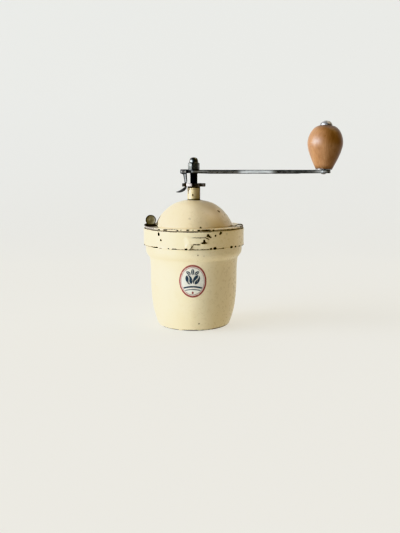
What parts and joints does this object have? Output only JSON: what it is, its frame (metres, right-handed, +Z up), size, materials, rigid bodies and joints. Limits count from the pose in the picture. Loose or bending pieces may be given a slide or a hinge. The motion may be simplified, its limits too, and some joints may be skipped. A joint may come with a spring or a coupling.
{
  "type": "coffee mill",
  "caption": "Hand coffee mill: cream enamelled steel pot, bayonet head with domed hopper and turning hatch, conical burrs, flat crank arm with a sprung pawl and a turned wooden knob.",
  "frame": {"origin": "centre of the pot's underside, on the surface that the mill stands on", "axes": "+Z up along the shaft, +X along the crank arm at rest, -Y towards the front where the badge is"},
  "size_m": [0.2053, 0.1054, 0.2105],
  "materials": {
    "cream_enamel": "aged cream stoving enamel, half gloss, chipped to dark steel along its edges",
    "dark_steel": "darkened steel, edges worn bright",
    "worn_steel": "bare steel, dulled and stained",
    "polished_steel": "once polished steel, dark in the hollows",
    "tinned_steel": "dull tinned sheet steel",
    "aged_brass": "browned brass",
    "burr_iron": "hardened grinding iron, dull grey, coffee stained",
    "turned_wood": "turned hardwood, waxed and worn smooth"
  },
  "bodies": {
    "pot": {"pot_shell": "cream_enamel", "bayonet_studs": "worn_steel"},
    "hopper": {"hopper_funnel": "tinned_steel"},
    "head": {"collar_band": "cream_enamel", "rim_ledge": "cream_enamel", "rear_dome": "cream_enamel", "dome_rivets": "worn_steel", "neck_tube": "cream_enamel", "upper_bush": "aged_brass", "outer_burr": "burr_iron", "lower_bridge": "tinned_steel", "lower_bush": "aged_brass", "bridge_screws": "dark_steel"},
    "hatch": {"front_hatch": "cream_enamel", "thumb_disc": "aged_brass", "disc_rivet": "worn_steel"},
    "crank": {"main_shaft": "dark_steel", "inner_burr": "burr_iron", "burr_pin": "worn_steel", "shaft_spring": "worn_steel", "spring_seats": "worn_steel", "spring_pin": "worn_steel", "thrust_washer": "worn_steel", "adjusting_nut": "dark_steel", "crank_arm": "dark_steel", "acorn_nut": "polished_steel", "knob_spindle": "polished_steel", "knob_washer": "dark_steel", "pawl_pin": "worn_steel", "pawl_spring": "worn_steel"},
    "pawl": {"pawl_lever": "worn_steel"},
    "knob": {"wooden_knob": "turned_wood", "knob_liner": "aged_brass"}
  },
  "joints": [
    {"name": "head_lift", "type": "slide", "parent": "pot", "child": "hopper", "axis": [0, 0, 1], "range_m": [0, 0.06]},
    {"name": "head_twist", "type": "hinge", "parent": "hopper", "child": "head", "pos_m": [0, 0, 0.0928], "axis": [0, 0, 1], "range_deg": [-17, 0]},
    {"name": "hatch_turn", "type": "hinge", "parent": "head", "child": "hatch", "pos_m": [0, 0, 0.131], "axis": [0, 0, 1], "range_deg": [0, 160]},
    {"name": "crank_turn", "type": "hinge", "parent": "head", "child": "crank", "pos_m": [0, 0, 0.1432], "axis": [0, 0, 1], "continuous": true},
    {"name": "pawl_release", "type": "hinge", "parent": "crank", "child": "pawl", "pos_m": [-0.011, 0, 0.1593], "axis": [0, 1, 0], "range_deg": [0, 22], "stiffness_Nm_per_rad": 0.02, "springref_deg": -17.19, "deforming": ["pawl_spring"]},
    {"name": "knob_spin", "type": "hinge", "parent": "crank", "child": "knob", "pos_m": [0.1338, 0, 0.161], "axis": [0.0244, 0, 0.9997], "continuous": true}
  ]
}
